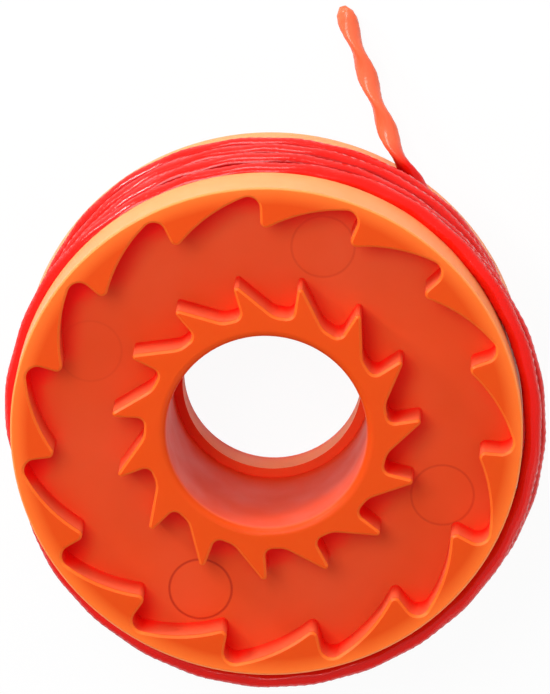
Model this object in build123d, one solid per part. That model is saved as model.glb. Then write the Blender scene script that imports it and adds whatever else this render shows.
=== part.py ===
"""Trimmer line spool: a ratchet-toothed moulded spool, full of twisted trimmer line.

The spool stands on its back flange, its axis along +Z and the toothed drive face up.
The origin is the centre of the back flange's outer face. All sizes are in millimetres.
"""
import os
from math import atan2, cos, degrees, radians, sin, tan

from build123d import *

# Overall size of the moulding
flange_diameter = 52.0
spool_width = 20.4
rim_chamfer = 0.2

# Drive flange, at the top: its outer edge is deep, because it holds the toothed recess
drive_flange_width = 5.5
recess_depth = 4.2

# Back flange, at the bottom
back_flange_width = 2.7

# Hub and bore, with a narrower collar at the back, which leaves a ledge in the bore
bore_diameter = 20.4
bore_round = 0.8
hub_wall = 3.0
ledge_width = 0.95
collar_width = 3.7

# Ratchet teeth: one ring points in from the rim's wall, the other points out from the boss's wall
tooth_count = 15
tooth_edge_chamfer = 0.25

rim_wall = 0.55
rim_tooth_height = 4.1
rim_teeth_turn = 19.5
rim_flank_bulge = 0.9
rim_root_round = 1.2
rim_tip_round = 0.6

boss_wall = 2.2
boss_tooth_height = 4.0
boss_teeth_turn = 5.3
boss_ramp_start = 9.0
boss_tooth_rake = 1.1
boss_root_round = 0.8
boss_ramp_round = 2.2
boss_tip_round = 0.32

# The line as wound: tight and inside the rims at the back flange, and slack at the drive flange,
# where a band of turns stands out past the rim and hangs to one side
line_diameter = 1.65
tight_turn_inset = 2.4
slack_turn_overhang = 2.0
slack_band_width = 4.2
slack_band_shift = 1.6
slack_band_side = 294.0
winding_clearance = 0.15

# The free end leaves the winding and comes down to the surface that the spool stands on.
# Each point of its route is an angle about the axis, a distance out from the rim and a height.
tail_route = [
    (37.0, 0.0, 4.3),
    (58.0, 0.4, 4.2),
    (71.7, 6.65, 2.3),
    (79.85, 14.3, 0.95),
]

TOOTH_PITCH = 360.0 / tooth_count


def polar(radius, angle, height=0.0):
    """The point at this radius and angle about the spool's axis."""
    return Vector(radius * cos(radians(angle)), radius * sin(radians(angle)), height)


def corners_at(face, radius, first_turn=0.0, span=TOOTH_PITCH):
    """The outline's corners on this circle, if within a span of each tooth's first turn."""
    found = []
    for corner in face.vertices():
        turn = degrees(atan2(corner.Y, corner.X)) - first_turn + span / 2
        on_circle = abs(Vector(corner.X, corner.Y, 0).length - radius) < 0.01
        if on_circle and turn % TOOTH_PITCH <= span:
            found.append(corner)
    return found


def bulging_arc(start, end, bulge):
    """An arc from start to end that stands out from its chord, away from the axis, by the bulge."""
    chord = end - start
    outward = Vector(chord.Y, -chord.X, 0).normalized()
    return ThreePointArc(start, (start + end) * 0.5 + outward * bulge, end)


def rim_opening():
    """The recess's outline along the rim: a radial stop and a bulging ramp for each tooth."""
    root = flange_diameter / 2 - rim_wall
    tip = root - rim_tooth_height
    edges = []
    for tooth in range(tooth_count):
        turn = rim_teeth_turn + tooth * TOOTH_PITCH
        edges.append(Line(polar(tip, turn), polar(root, turn)))
        edges.append(bulging_arc(polar(root, turn), polar(tip, turn + TOOTH_PITCH), rim_flank_bulge))
    face = make_face(edges)
    face = fillet(corners_at(face, root), rim_root_round)
    return fillet(corners_at(face, tip), rim_tip_round)


def boss_outline():
    """The boss's outline: a round root with a raked stop and a straight ramp for each tooth."""
    root = bore_diameter / 2 + boss_wall
    tip = root + boss_tooth_height
    edges = []
    for tooth in range(tooth_count):
        turn = boss_teeth_turn + tooth * TOOTH_PITCH
        stop_foot = polar(root, turn)
        ramp_foot = polar(root, turn + boss_ramp_start)
        edges.append(Line(polar(tip, turn + boss_tooth_rake), stop_foot))
        edges.append(ThreePointArc(stop_foot, polar(root, turn + boss_ramp_start / 2), ramp_foot))
        edges.append(Line(ramp_foot, polar(tip, turn + TOOTH_PITCH + boss_tooth_rake)))
    face = make_face(edges)
    near_stop = boss_ramp_start / 2
    face = fillet(corners_at(face, root, boss_teeth_turn, near_stop), boss_root_round)
    face = fillet(corners_at(face, root, boss_teeth_turn + boss_ramp_start, near_stop), boss_ramp_round)
    return fillet(corners_at(face, tip), boss_tip_round)


def bobbin():
    """Both flanges, the hub and the stepped bore, before the recess is cut."""
    rim, bore = flange_diameter / 2, bore_diameter / 2
    hub, collar = bore + hub_wall, bore - ledge_width
    groove_top = spool_width - drive_flange_width
    outline = Polyline(
        (collar, 0), (rim, 0), (rim, back_flange_width), (hub, back_flange_width),
        (hub, groove_top), (rim, groove_top), (rim, spool_width), (bore, spool_width),
        (bore, collar_width), (collar, collar_width), close=True)
    section = make_face(outline)
    outer_corners = [section.vertices().sort_by_distance((rim, height))[0] for height in (0, spool_width)]
    section = chamfer(outer_corners, rim_chamfer)
    bore_corner = section.vertices().sort_by_distance((bore, spool_width))[0]
    section = fillet(bore_corner, bore_round)
    return revolve(Plane.XZ * section, Axis.Z)


def spool():
    """The moulding: the bobbin, with the recess and its two rings of ratchet teeth in its top."""
    floor = spool_width - recess_depth
    recess = rim_opening() - boss_outline()
    body = bobbin() - extrude(Pos(0, 0, floor) * recess, recess_depth)

    outermost = flange_diameter / 2 - rim_chamfer
    innermost = bore_diameter / 2 + bore_round
    tooth_edges = []
    for edge in body.edges().group_by(Axis.Z)[-1]:
        middle = edge.position_at(0.5)
        if innermost + 0.01 < Vector(middle.X, middle.Y, 0).length < outermost - 0.01:
            tooth_edges.append(edge)
    return chamfer(tooth_edges, tooth_edge_chamfer)


def line_winding():
    """The outer form of all the wound line: its tight turns widen to the slack band, which is off centre."""
    inner = bore_diameter / 2 + hub_wall + winding_clearance
    bottom = back_flange_width + winding_clearance
    top = spool_width - drive_flange_width - winding_clearance
    tight_circle = Circle(flange_diameter / 2 - tight_turn_inset)
    slack_circle = Circle(flange_diameter / 2 + slack_turn_overhang)
    band_foot = Pos(polar(slack_band_shift, slack_band_side, top - slack_band_width)) * slack_circle
    tight_turns = loft([Pos(0, 0, bottom) * tight_circle, band_foot])
    slack_band = extrude(band_foot, slack_band_width)
    core = extrude(Pos(0, 0, bottom) * Circle(inner), top - bottom)
    return tight_turns + slack_band - core


def line_tail():
    """The free end of the line: a round tube of straight runs, joined by arcs as large as they allow."""
    rim = flange_diameter / 2
    route = [polar(rim + out, angle, height) for angle, out, height in tail_route]
    bends = []
    for before, corner, after in zip(route, route[1:], route[2:]):
        half_turn = (corner - before).get_angle(after - corner) / 2
        shorter_run = min((corner - before).length, (after - corner).length)
        bends.append(0.45 * shorter_run / tan(radians(half_turn)))
    print("Tail bend radii:", [round(bend, 1) for bend in bends])
    path = FilletPolyline(*route, radius=bends)
    section = Plane(origin=path @ 0, z_dir=path % 0) * Circle(line_diameter / 2)
    return sweep(section, path=path)


os.makedirs("parts", exist_ok=True)
export_step(spool(), "parts/spool.step")
export_step(line_winding(), "parts/line_winding.step")
export_step(line_tail(), "parts/line_tail.step")
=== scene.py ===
"""Looks of the trimmer line spool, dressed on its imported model.

The named sizes are in millimetres, and MM turns them into Blender's metres.
"""
from math import cos, pi, radians, sin

import bpy
from mathutils import Matrix, Vector


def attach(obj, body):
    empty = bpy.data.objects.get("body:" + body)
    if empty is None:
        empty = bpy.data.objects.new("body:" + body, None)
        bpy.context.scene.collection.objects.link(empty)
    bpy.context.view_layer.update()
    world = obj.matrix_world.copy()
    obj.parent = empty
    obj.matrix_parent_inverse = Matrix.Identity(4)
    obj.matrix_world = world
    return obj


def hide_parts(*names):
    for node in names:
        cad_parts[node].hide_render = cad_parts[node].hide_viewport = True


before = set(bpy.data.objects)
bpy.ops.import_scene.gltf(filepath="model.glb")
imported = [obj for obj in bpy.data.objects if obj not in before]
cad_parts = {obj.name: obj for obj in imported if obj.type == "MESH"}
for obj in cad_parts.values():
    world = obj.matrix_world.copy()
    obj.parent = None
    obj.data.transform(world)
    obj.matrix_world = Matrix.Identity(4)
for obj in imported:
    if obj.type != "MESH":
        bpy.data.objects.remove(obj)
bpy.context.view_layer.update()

MM = 0.001

# The photograph's camera: its focal length, its place, and its own right, up and back directions
camera_lens = 419.7
camera_place = (28.695, 255.691, 798.899)
camera_right = (0.9993635, 0.0, -0.0356733)
camera_up = (-0.0107597, 0.9534290, -0.3014255)
camera_back = (0.0340120, 0.3016175, 0.9528222)

# The spool, as its source has it
rim_radius = 26.0
bore_radius = 10.2
collar_radius = 9.25
spool_width = 20.4
recess_floor = 16.2

# The line: a soft oval, twisted along its length. It is flatter up to the free length from its end,
# and turns to its wound form over the turning length.
wound_width = 1.9
wound_thickness = 1.74
free_width = 2.1
free_thickness = 1.3
free_length = 30.0
turning_length = 40.0
twist_length = 11.8
section_points = 12

# The tip of the free end: where its twist starts, in turns, and how far back and how much it is rounded
free_end_turn = 0.37
free_end_round = 1.1
free_end_taper = 0.6

# Gaps between the line's rings, each up to its distance from the free end, and the gap further in
ring_gaps = ((60.0, 0.35), (1150.0, 0.8))
inner_ring_gap = 1.3

# Tight turns on the hub, layer over layer. Further out, the layers widen towards the drive flange.
tight_layers = 7
turns_in_layer = 7
points_in_tight_turn = 16
first_layer_radius = 14.15
lowest_turn = 3.75
highest_turn = 13.95
last_radius_low = 25.4
last_radius_high = 26.3

# The last layer comes down again and is slack. Each row is a place that the line goes through:
# an angle about the axis, a distance from the axis and a height.
points_in_loose_turn = 24
loose_places = [
    (195, 25.2, 13.9),
    (210, 26.8, 13.95),
    (225, 27.4, 14.2),
    (240, 27.6, 14.9),
    (270, 27.9, 16.0),
    (300, 27.35, 17.0),
    (330, 27.15, 17.4),
    (360, 27.05, 17.5),
    (375, 27.1, 17.3),
    (390, 26.95, 16.2),
    (405, 26.6, 14.9),
    (420, 26.4, 14.0),
    (450, 25.8, 13.8),
    (480, 25.7, 13.9),
    (495, 25.8, 13.8),
    (510, 26.05, 13.7),
    (525, 25.9, 13.6),
    (540, 26.25, 13.6),
    (555, 25.6, 13.3),
    (570, 25.9, 12.9),
    (600, 28.0, 12.7),
    (630, 29.0, 12.6),
    (660, 27.9, 13.4),
    (675, 27.5, 14.6),
    (690, 27.5, 15.4),
    (705, 27.55, 15.6),
    (720, 27.4, 15.6),
    (735, 27.4, 15.4),
    (750, 26.9, 14.4),
    (765, 26.5, 13.2),
    (780, 26.4, 12.4),
    (810, 26.25, 11.8),
    (840, 26.0, 11.5),
    (855, 25.5, 11.3),
    (885, 25.0, 11.2),
    (900, 25.1, 11.0),
    (990, 26.0, 10.7),
    (1080, 25.9, 10.4),
    (1110, 26.1, 10.2),
    (1125, 26.6, 9.8),
    (1170, 26.4, 9.2),
    (1200, 26.2, 8.8),
    (1215, 25.7, 8.6),
    (1245, 24.9, 8.4),
    (1350, 25.8, 8.0),
    (1440, 25.7, 7.8),
    (1470, 25.9, 7.5),
    (1485, 26.5, 7.1),
    (1530, 26.4, 6.6),
    (1560, 26.4, 6.3),
    (1575, 26.0, 6.1),
    (1605, 24.9, 5.9),
    (1710, 25.6, 5.5),
    (1800, 25.4, 5.4),
    (1830, 25.5, 5.3),
    (1845, 26.0, 5.2),
    (1890, 25.3, 4.2),
    (1950, 24.9, 4.0),
    (1980, 24.9, 3.9),
    (2070, 25.2, 3.9),
    (2160, 25.4, 4.4),
    (2190, 25.5, 4.4),
]

# The slack turns are a little uneven: a long and a short wave up and down, and a share of it outwards
long_wave = 0.16
long_waves_in_turn = 1.7
short_wave = 0.05
short_waves_in_turn = 6.1
outward_share = 0.2

# The free end's route, close to its source's. Each point is an angle about the axis, a distance out
# from the rim and a height.
tail_route = [
    (37.0, -0.3, 4.3),
    (58.0, 0.1, 4.2),
    (71.7, 6.65, 2.3),
    (79.85, 14.3, 0.95),
]

# Ejector pin marks on the recess floor, each an angle about the axis and a strength
pin_radius = 3.2
pin_circle_radius = 19.45
pin_marks = ((73.2, 0.3), (158.0, 0.15), (249.3, 0.8), (336.6, 0.4))

# Deep red in corners: how far off walls still count, and the openness from which and to which it
# fades in. On the moulding, walls on the light's side count most.
moulding_shade_reach = 3.2
moulding_shade_range = (0.72, 0.33)
line_shade_reach = 1.5
line_shade_range = (0.85, 0.55)
light_side = (-0.85, 1.1, 0)

# Colours
face_colour = (0.68, 0.062, 0.002, 1)
# Painted light and shade on the recess walls: lighter as if lit, and deep red at their feet as painted
# shade
painted_lit_wall_colour = (0.80, 0.125, 0.05, 1)
painted_wall_foot_shade_colour = (0.66, 0.018, 0.004, 1)
recess_colour = (0.68, 0.062, 0.009, 1)
# Painted sheen: the flanges' outer band is pale peach, as if brightly lit and reflecting white
painted_rim_sheen_colour = (0.97, 0.31, 0.11, 1)
# Painted light: the bore wall lighter than the face, and the collar at its foot lighter still
painted_light_bore_colour = (0.78, 0.068, 0.014, 1)
painted_lit_collar_colour = (1.0, 0.30, 0.11, 1)
bloom_colour = (0.74, 0.10, 0.035, 1)
# Painted highlight: lighter orange towards the rim's edge and along the tooth edges
painted_edge_highlight_colour = (1.0, 0.24, 0.035, 1)
pin_colour = (0.40, 0.02, 0.004, 1)
shade_colour = (0.94, 0.004, 0.001, 1)
line_colour = (0.77, 0.005, 0.001, 1)
# Painted shade: darker red in the gaps between the line's strands
line_gap_shade_colour = (0.36, 0.0005, 0.0005, 1)
# Painted light: the free end lighter, as if lit through
free_end_painted_light_colour = (0.88, 0.14, 0.055, 1)
white = (1, 1, 1, 1)

# Borders of the moulding's colours: each colour starts at the first value and is full at the second
below_face_border = (spool_width - 0.3, spool_width - 0.5)
inside_rim_border = (rim_radius - 0.3, rim_radius - 0.4)
near_rim_border = (rim_radius - 1.8, rim_radius - 0.1)
rim_border = (rim_radius - 0.2, rim_radius - 0.05)
wall_foot_border = (recess_floor + 3.4, recess_floor + 0.6)
bore_border = (bore_radius + 0.6, bore_radius + 0.1)
bore_top_border = (spool_width - 0.5, spool_width - 1.1)
collar_border = (collar_radius + 0.15, collar_radius + 0.05)
top_edge_border = (spool_width - 0.4, spool_width - 0.3)
outside_bore_border = (bore_radius + 1.0, bore_radius + 1.2)
off_floor_border = (0.2, 0.1)
off_ring_border = (0.18, 0.04)

# The same for how much a face looks up, from 0 for a wall to 1 for a floor
wall_facing_border = (0.7, 0.3)
chamfer_facing = 0.7
off_chamfer_border = (0.15, 0.05)

# Strength of the thinner colours: the painted light near the rim, the painted highlight on tooth edges,
# and the bloom
near_rim_highlight_strength = 0.6
tooth_edge_highlight_strength = 0.3
bloom_strength = 0.4

# Texture of the moulding: bumps per metre, the span of noise that is used, and heights
bloom_scale = 70.0
bloom_span = (0.35, 0.7)
patch_scale = 260.0
patch_span = (0.3, 0.7)
wave_scale = 500.0
wave_height = 0.5
grain_scale = 2600.0
grain_height = 0.25
moulding_bump = 0.35
moulding_roughness = (0.36, 0.5)
recess_roughness = 0.06

# Texture of the line: streaks around it and along each millimetre of it. The part of the free end
# that is seen is painted lighter, as if lit through, and this painted light fades out further in.
line_streaks = (4.0, 3.0, 1.0)
streak_detail = 4.0
streak_span = (0.3, 0.7)
line_bump = 0.45
line_roughness = (0.1, 0.24)
free_end_seen = 14.5
free_end_light_fade = 3.0

# Depth of the bumps, and how far light spreads under the surface
bump_depth = 0.06
light_spread = 1.0

# Floor and surround. The floor's glow is its share of plain white, and the rest takes the shadow.
# The surround is brightest on the +Y side, where the free end lies, and least bright opposite.
floor_width = 8000.0
floor_colour = (0.85, 0.85, 0.85, 1)
floor_glow = 0.94
surround_least = 0.46
surround_most = 0.72

# Soft square lamps: name, place, width and power
lamps = (
    ("key", (-90, 150, 300), 140, 0.56),
    ("low", (-50, 430, 130), 140, 0.6),
    ("glint", (-300, 280, 130), 60, 0.8),
    ("fill", (300, -300, 200), 300, 0.25),
)


def polar(radius, angle, height):
    """The point at this radius and angle about the spool's axis, in metres."""
    return Vector((radius * cos(radians(angle)), radius * sin(radians(angle)), height)) * MM


def add_object(name, data):
    """A new object in the scene."""
    added = bpy.data.objects.new(name, data)
    bpy.context.collection.objects.link(added)
    return added


# Camera
def make_camera():
    """The photograph's camera, at its place and turned to its own directions."""
    data = bpy.data.cameras.new("camera")
    data.lens = camera_lens
    camera = add_object("camera", data)
    camera.matrix_world = Matrix((camera_right, camera_up, camera_back)).transposed().to_4x4()
    camera.location = Vector(camera_place) * MM
    bpy.context.scene.camera = camera


# Line
def outward_factor(step_angle):
    """How much further out control points lie than the circle that their curve follows."""
    return 1 / cos(radians(step_angle / 2))


def tight_turns():
    """Control points of the tight turns, which go up the hub, down, and up again."""
    steps = turns_in_layer * points_in_tight_turn
    step_angle = 360 / points_in_tight_turn
    start_angle = loose_places[0][0] - tight_layers * turns_in_layer * 360
    points = []
    for layer in range(tight_layers):
        for step in range(steps):
            share = (step + 0.5) / steps
            rise = share if layer % 2 == 0 else 1 - share
            height = lowest_turn + (highest_turn - lowest_turn) * rise
            last_radius = last_radius_low + (last_radius_high - last_radius_low) * rise
            radius = first_layer_radius + (last_radius - first_layer_radius) * layer / tight_layers
            angle = start_angle + (layer * steps + step) * step_angle
            points.append(polar(radius * outward_factor(step_angle), angle, height))
    return points


def eased(column, index, share):
    """A column of the listed places, on a smooth curve from one place to the next."""
    slopes = []
    for place in (index, index + 1):
        before = loose_places[max(place - 1, 0)]
        after = loose_places[min(place + 1, len(loose_places) - 1)]
        slopes.append((after[column] - before[column]) / (after[0] - before[0]))
    here, there = loose_places[index], loose_places[index + 1]
    span = there[0] - here[0]
    rest = 1 - share
    ends = here[column] * (1 + 2 * share) * rest ** 2 + there[column] * (3 - 2 * share) * share ** 2
    return ends + span * share * rest * (slopes[0] * rest - slopes[1] * share)


def loose_turns():
    """Control points of the last layer, through its listed places."""
    step_angle = 360 / points_in_loose_turn
    points = []
    for index, (here, there) in enumerate(zip(loose_places, loose_places[1:])):
        steps = round((there[0] - here[0]) / step_angle)
        for step in range(steps):
            share = step / steps
            angle = here[0] + (there[0] - here[0]) * share
            wave = long_wave * sin(radians(angle * long_waves_in_turn))
            wave += short_wave * sin(radians(angle * short_waves_in_turn))
            radius = eased(1, index, share) + outward_share * wave
            height = eased(2, index, share) + wave
            points.append(polar(radius * outward_factor(step_angle), angle, height))
    last_angle, last_radius, last_height = loose_places[-1]
    points.append(polar(last_radius, last_angle, last_height))
    return points


def line_route():
    """Points along the line's smooth centreline, from its NURBS spline."""
    controls = tight_turns() + loose_turns()
    controls += [polar(rim_radius + out, angle, height) for angle, out, height in tail_route]
    data = bpy.data.curves.new("line_route", "CURVE")
    data.dimensions = "3D"
    data.resolution_u = 24
    spline = data.splines.new("NURBS")
    spline.points.add(len(controls) - 1)
    for point, place in zip(spline.points, controls):
        point.co = (*place, 1)
    spline.order_u = 3
    spline.use_endpoint_u = True
    route = bpy.data.objects.new("line_route", data)
    mesh = bpy.data.meshes.new_from_object(route)
    points = [vertex.co.copy() for vertex in mesh.vertices]
    bpy.data.meshes.remove(mesh)
    bpy.data.objects.remove(route)
    return points


def ring_gap(run):
    """The gap between the line's rings, at a distance in metres from its free end."""
    for reach, gap in ring_gaps:
        if run < reach * MM:
            return gap * MM
    return inner_ring_gap * MM


def ring_centres(points):
    """Where the line's rings go: close together at its free end, and wider apart inside the winding."""
    centres = [points[-1]]
    run = 0.0
    for before, after in zip(points[-2::-1], points[::-1]):
        run += (after - before).length
        if (before - centres[-1]).length >= ring_gap(run):
            centres.append(before)
    centres.reverse()
    return centres


def distances(centres):
    """How far along the line each centre is from the first one, in millimetres."""
    runs = [0.0]
    for before, after in zip(centres, centres[1:]):
        runs.append(runs[-1] + (after - before).length / MM)
    return runs


def section_at(run):
    """The width and thickness of the line's oval, at a distance from its free end."""
    wound = min(max((run - free_length) / turning_length, 0.0), 1.0)
    size = 1 - free_end_taper * max(1 - run / free_end_round, 0.0) ** 2
    width = free_width + (wound_width - free_width) * wound
    thickness = free_thickness + (wound_thickness - free_thickness) * wound
    return width * size, thickness * size


def strand_vertices(centres, runs):
    """The points of an oval ring at each centre. The rings turn with the line's twist."""
    vertices = []
    normal = Vector((0, 0, 1))
    for index, (centre, run) in enumerate(zip(centres, runs)):
        before = centres[max(index - 1, 0)]
        after = centres[min(index + 1, len(centres) - 1)]
        along = (after - before).normalized()
        normal = (normal - along * normal.dot(along)).normalized()
        side = along.cross(normal)
        width, thickness = section_at(run)
        twist = 2 * pi * (free_end_turn + run / twist_length)
        for corner in range(section_points):
            around = 2 * pi * corner / section_points
            wide = width / 2 * cos(around) * MM
            thin = thickness / 2 * sin(around) * MM
            across = cos(twist) * wide - sin(twist) * thin
            over = sin(twist) * wide + cos(twist) * thin
            vertices.append(centre + side * across + normal * over)
    return vertices


def strand_faces(ring_count):
    """The faces of a strand of rings, and each face corner's place: steps around a ring, and a ring."""
    last_ring = ring_count - 1
    faces = [tuple(range(section_points))[::-1]]
    places = [(0, 0)] * section_points
    for ring in range(last_ring):
        for corner in range(section_points):
            follower = (corner + 1) % section_points
            first = ring * section_points
            second = first + section_points
            faces.append((first + corner, first + follower, second + follower, second + corner))
            places += [(corner, ring), (corner + 1, ring), (corner + 1, ring + 1), (corner, ring + 1)]
    faces.append(tuple(range(last_ring * section_points, ring_count * section_points)))
    places += [(0, last_ring)] * section_points
    return faces, places


def make_line():
    """The whole line as one twisted strand, wound on the hub, with its free end out."""
    centres = ring_centres(line_route())
    from_free_end = centres[::-1]
    runs = distances(from_free_end)
    faces, places = strand_faces(len(centres))
    mesh = bpy.data.meshes.new("line")
    mesh.from_pydata(strand_vertices(from_free_end, runs), [], faces)
    mesh.shade_smooth()
    uv = mesh.uv_layers.new(name="to_free_end")
    for loop, (corner, ring) in zip(uv.data, places):
        loop.uv = (corner / section_points, runs[ring])
    line = add_object("line", mesh)
    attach(line, "root")
    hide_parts("line_winding", "line_tail")
    return line


# Materials
def new_material(name):
    """A material with its node tree and its Principled shader."""
    material = bpy.data.materials.new(name)
    material.use_nodes = True
    tree = material.node_tree
    return material, tree, tree.nodes["Principled BSDF"]


def fill_inputs(tree, node, inputs):
    """Each of these inputs gets its value, or a link from another node's socket."""
    for key, value in inputs.items():
        if isinstance(value, bpy.types.NodeSocket):
            tree.links.new(value, node.inputs[key])
        else:
            node.inputs[key].default_value = value


def add_node(tree, kind, inputs=None, **settings):
    """A new node with its settings and its inputs."""
    node = tree.nodes.new(kind)
    for name, value in settings.items():
        setattr(node, name, value)
    fill_inputs(tree, node, inputs or {})
    return node


def math_node(tree, operation, first, second=0.0):
    """The result socket of a Math node."""
    return add_node(tree, "ShaderNodeMath", {0: first, 1: second}, operation=operation).outputs[0]


def vector_node(tree, operation, first, second=(0, 0, 0), result="Vector"):
    """A result socket of a Vector Math node."""
    node = add_node(tree, "ShaderNodeVectorMath", {0: first, 1: second}, operation=operation)
    return node.outputs[result]


def coordinate(tree, vector, axis):
    """One coordinate of a vector."""
    return add_node(tree, "ShaderNodeSeparateXYZ", {"Vector": vector}).outputs[axis]


def product(tree, first, *others):
    """The product of a socket and other sockets or values."""
    for other in others:
        first = math_node(tree, "MULTIPLY", first, other)
    return first


def distance_off(tree, value, centre):
    """How far a value is from a centre, to either side."""
    return math_node(tree, "ABSOLUTE", math_node(tree, "SUBTRACT", value, centre))


def noise(tree, vector, scale, detail=3.0):
    """A noise value about 0.5, at a scale in bumps for each unit of the vector."""
    node = add_node(tree, "ShaderNodeTexNoise", {"Vector": vector, "Scale": scale, "Detail": detail})
    return node.outputs["Fac"]


def ramp(tree, value, low, high, to_low=0.0, to_high=1.0):
    """The value, mapped from one range to another and kept within it."""
    inputs = {"Value": value, "From Min": low, "From Max": high, "To Min": to_low, "To Max": to_high}
    return add_node(tree, "ShaderNodeMapRange", inputs).outputs[0]


def fade(tree, length, border, most=1.0):
    """From 0 at the border's first millimetre value to the most at its second, for a length in metres."""
    start, end = border
    return ramp(tree, length, start * MM, end * MM, 0.0, most)


def blend(tree, amount, first, second):
    """One colour turned into another by an amount from 0 to 1."""
    return add_node(tree, "ShaderNodeMix", {0: amount, 6: first, 7: second}, data_type="RGBA").outputs[2]


def bumps(tree, relief, strength):
    """The surface's normal with a relief on it."""
    inputs = {"Strength": strength, "Distance": bump_depth * MM, "Height": relief}
    return add_node(tree, "ShaderNodeBump", inputs).outputs[0]


def corner_shade(tree, reach, shade_range, towards=(0, 0, 0), only_local=False):
    """How far a place is shut in, from 0 to 1, by what stands near it, most of all on one side."""
    normal = add_node(tree, "ShaderNodeNewGeometry").outputs["Normal"]
    leaning = vector_node(tree, "ADD", normal, towards)
    inputs = {"Distance": reach * MM, "Normal": leaning}
    cover = add_node(tree, "ShaderNodeAmbientOcclusion", inputs, samples=8, only_local=only_local)
    return ramp(tree, cover.outputs["AO"], *shade_range)


def pin_rings(tree, place, height):
    """Thin rings on the recess floor, each with its own strength."""
    rings = 0.0
    for angle, strength in pin_marks:
        pin = polar(pin_circle_radius, angle, recess_floor)
        away = vector_node(tree, "DISTANCE", place, pin, "Value")
        ring = fade(tree, distance_off(tree, away, pin_radius * MM), off_ring_border, strength)
        rings = math_node(tree, "MAXIMUM", rings, ring)
    on_floor = fade(tree, distance_off(tree, height, recess_floor * MM), off_floor_border)
    return product(tree, rings, on_floor)


def moulding_zones(tree, height, radius, facing):
    """How much of each zone of the moulding a place has, from 0 to 1."""
    wall = ramp(tree, math_node(tree, "ABSOLUTE", facing), *wall_facing_border)
    deep = product(tree, fade(tree, height, below_face_border), fade(tree, radius, inside_rim_border))
    chamfer = ramp(tree, distance_off(tree, facing, chamfer_facing), *off_chamfer_border)
    top_edge = fade(tree, height, top_edge_border)
    outside_bore = fade(tree, radius, outside_bore_border)
    return {
        "painted light near rim": fade(tree, radius, near_rim_border, near_rim_highlight_strength),
        "rim": fade(tree, radius, rim_border),
        "deep": deep,
        "deep wall": product(tree, deep, wall),
        "painted wall foot shade": fade(tree, height, wall_foot_border),
        "bore": product(tree, fade(tree, radius, bore_border), fade(tree, height, bore_top_border)),
        "collar": product(tree, fade(tree, radius, collar_border), wall),
        "painted tooth edge highlight": product(tree, chamfer, top_edge, outside_bore, tooth_edge_highlight_strength),
    }


def moulding_colour(tree, place, zones, rings):
    """The moulding's colour, laid over the drive face's orange in layers, with painted light and painted
    shade among them.
    """
    # Painted light on the walls, turning to painted shade at their feet
    wall_shades = blend(tree, zones["painted wall foot shade"], painted_lit_wall_colour, painted_wall_foot_shade_colour)
    bloom = ramp(tree, noise(tree, place, bloom_scale), *bloom_span, 0.0, bloom_strength)
    corner = corner_shade(tree, moulding_shade_reach, moulding_shade_range, light_side)
    layers = (
        (zones["painted light near rim"], painted_edge_highlight_colour),
        (zones["deep"], recess_colour),
        (zones["deep wall"], wall_shades),
        (product(tree, bloom, zones["deep"]), bloom_colour),
        (zones["rim"], painted_rim_sheen_colour),
        (zones["bore"], painted_light_bore_colour),
        (zones["collar"], painted_lit_collar_colour),
        (zones["painted tooth edge highlight"], painted_edge_highlight_colour),
        (rings, pin_colour),
        (product(tree, corner, zones["deep"]), shade_colour),
    )
    colour = face_colour
    for amount, layer_colour in layers:
        colour = blend(tree, amount, colour, layer_colour)
    return colour


def moulding_material():
    """Orange moulded plastic: smooth faces, a finely etched recess floor and faint ejector pin rings."""
    material, tree, shader = new_material("moulding")
    coordinates = add_node(tree, "ShaderNodeTexCoord").outputs
    place = coordinates["Object"]
    facing = coordinate(tree, coordinates["Normal"], "Z")
    height = coordinate(tree, place, "Z")
    radius = vector_node(tree, "LENGTH", vector_node(tree, "MULTIPLY", place, (1, 1, 0)), result="Value")
    zones = moulding_zones(tree, height, radius, facing)
    rings = pin_rings(tree, place, height)

    patches = ramp(tree, noise(tree, place, patch_scale), *patch_span, *moulding_roughness)
    rougher = product(tree, zones["deep"], recess_roughness)
    grain = product(tree, noise(tree, place, grain_scale), grain_height)
    waves = product(tree, noise(tree, place, wave_scale), wave_height)
    relief = math_node(tree, "SUBTRACT", math_node(tree, "ADD", grain, waves), rings)
    fill_inputs(tree, shader, {
        "Base Color": moulding_colour(tree, place, zones, rings),
        "Roughness": math_node(tree, "ADD", patches, rougher),
        "Normal": bumps(tree, relief, moulding_bump),
        "Specular IOR Level": 0.15,
        "Subsurface Weight": 0.2,
        "Subsurface Radius": (1.5, 0.4, 0.2),
        "Subsurface Scale": light_spread * MM,
    })
    return material


def line_material():
    """Clear red nylon: deep red where it is wound, with painted shade between strands and painted light
    on the free end where it stands alone.
    """
    material, tree, shader = new_material("line")
    on_line = add_node(tree, "ShaderNodeUVMap", uv_map="to_free_end").outputs[0]
    to_free_end = coordinate(tree, on_line, "Y")
    # Painted light: the free end is lighter where it stands alone, as if lit through
    free = ramp(tree, to_free_end, free_end_seen + free_end_light_fade, free_end_seen)
    # Painted shade in the gaps between strands
    gap = corner_shade(tree, line_shade_reach, line_shade_range, only_local=True)
    strand_colour = blend(tree, free, line_colour, free_end_painted_light_colour)
    streaks = noise(tree, vector_node(tree, "MULTIPLY", on_line, line_streaks), 1.0, streak_detail)
    fill_inputs(tree, shader, {
        "Base Color": blend(tree, gap, strand_colour, line_gap_shade_colour),
        "Roughness": ramp(tree, streaks, *streak_span, *line_roughness),
        "Normal": bumps(tree, streaks, line_bump),
        "Specular IOR Level": 0.3,
        "Subsurface Weight": 0.1,
        "Subsurface Radius": (1.0, 0.3, 0.2),
        "Subsurface Scale": light_spread * MM,
    })
    return material


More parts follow.
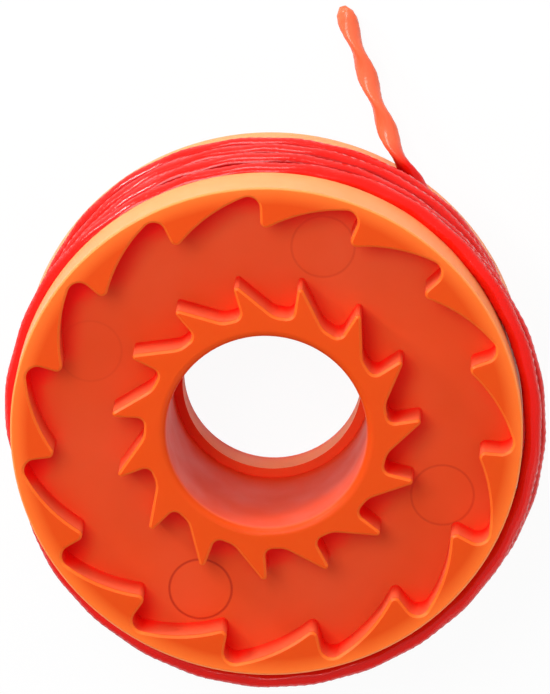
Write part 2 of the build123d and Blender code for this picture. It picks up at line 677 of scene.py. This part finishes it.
def floor_material():
    """Matt white, shown to the camera at full white with the object's soft shadow."""
    material, tree, shader = new_material("floor")
    fill_inputs(tree, shader, {"Base Color": floor_colour, "Roughness": 0.9})
    rays = add_node(tree, "ShaderNodeLightPath").outputs
    glow = add_node(tree, "ShaderNodeEmission", {"Color": white, "Strength": 1.0})
    seen = math_node(tree, "MAXIMUM", rays["Is Camera Ray"], rays["Is Glossy Ray"])
    seen = math_node(tree, "MAXIMUM", seen, rays["Is Transmission Ray"])
    share = product(tree, seen, floor_glow)
    mix = add_node(tree, "ShaderNodeMixShader", {0: share, 1: shader.outputs[0], 2: glow.outputs[0]})
    fill_inputs(tree, tree.nodes["Material Output"], {"Surface": mix.outputs[0]})
    return material


# Studio
def make_floor():
    """A wide square of floor, at the height that the spool stands on."""
    half = floor_width / 2 * MM
    mesh = bpy.data.meshes.new("floor")
    corners = [(-half, -half, 0), (half, -half, 0), (half, half, 0), (-half, half, 0)]
    mesh.from_pydata(corners, [], [(0, 1, 2, 3)])
    mesh.materials.append(floor_material())
    floor = add_object("floor", mesh)


def make_surround():
    """A white world that is brighter on the free end's side, and plain white to the camera."""
    world = bpy.data.worlds.new("surround")
    world.use_nodes = True
    tree = world.node_tree
    rays = add_node(tree, "ShaderNodeLightPath").outputs
    direction = add_node(tree, "ShaderNodeTexCoord").outputs["Generated"]
    towards_y = coordinate(tree, direction, "Y")
    strength = ramp(tree, towards_y, -1.0, 1.0, surround_least, surround_most)
    strength = math_node(tree, "MAXIMUM", strength, rays["Is Camera Ray"])
    fill_inputs(tree, tree.nodes["Background"], {"Strength": strength, "Color": white})
    bpy.context.scene.world = world


def make_lamps():
    """The soft lamps, all aimed at the middle of the spool."""
    for name, place, width, power in lamps:
        data = bpy.data.lights.new(name, "AREA")
        data.size = width * MM
        data.energy = power
        lamp = add_object(name, data)
        lamp.location = Vector(place) * MM
        aim = Vector((0, 0, spool_width / 2 * MM)) - lamp.location
        lamp.rotation_euler = aim.to_track_quat("-Z", "Y").to_euler()


make_camera()
line = make_line()
line.data.materials.append(line_material())
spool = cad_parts["spool"]
spool.data.materials.clear()
spool.data.materials.append(moulding_material())
make_floor()
make_surround()
make_lamps()
bpy.context.scene.view_settings.view_transform = "Standard"
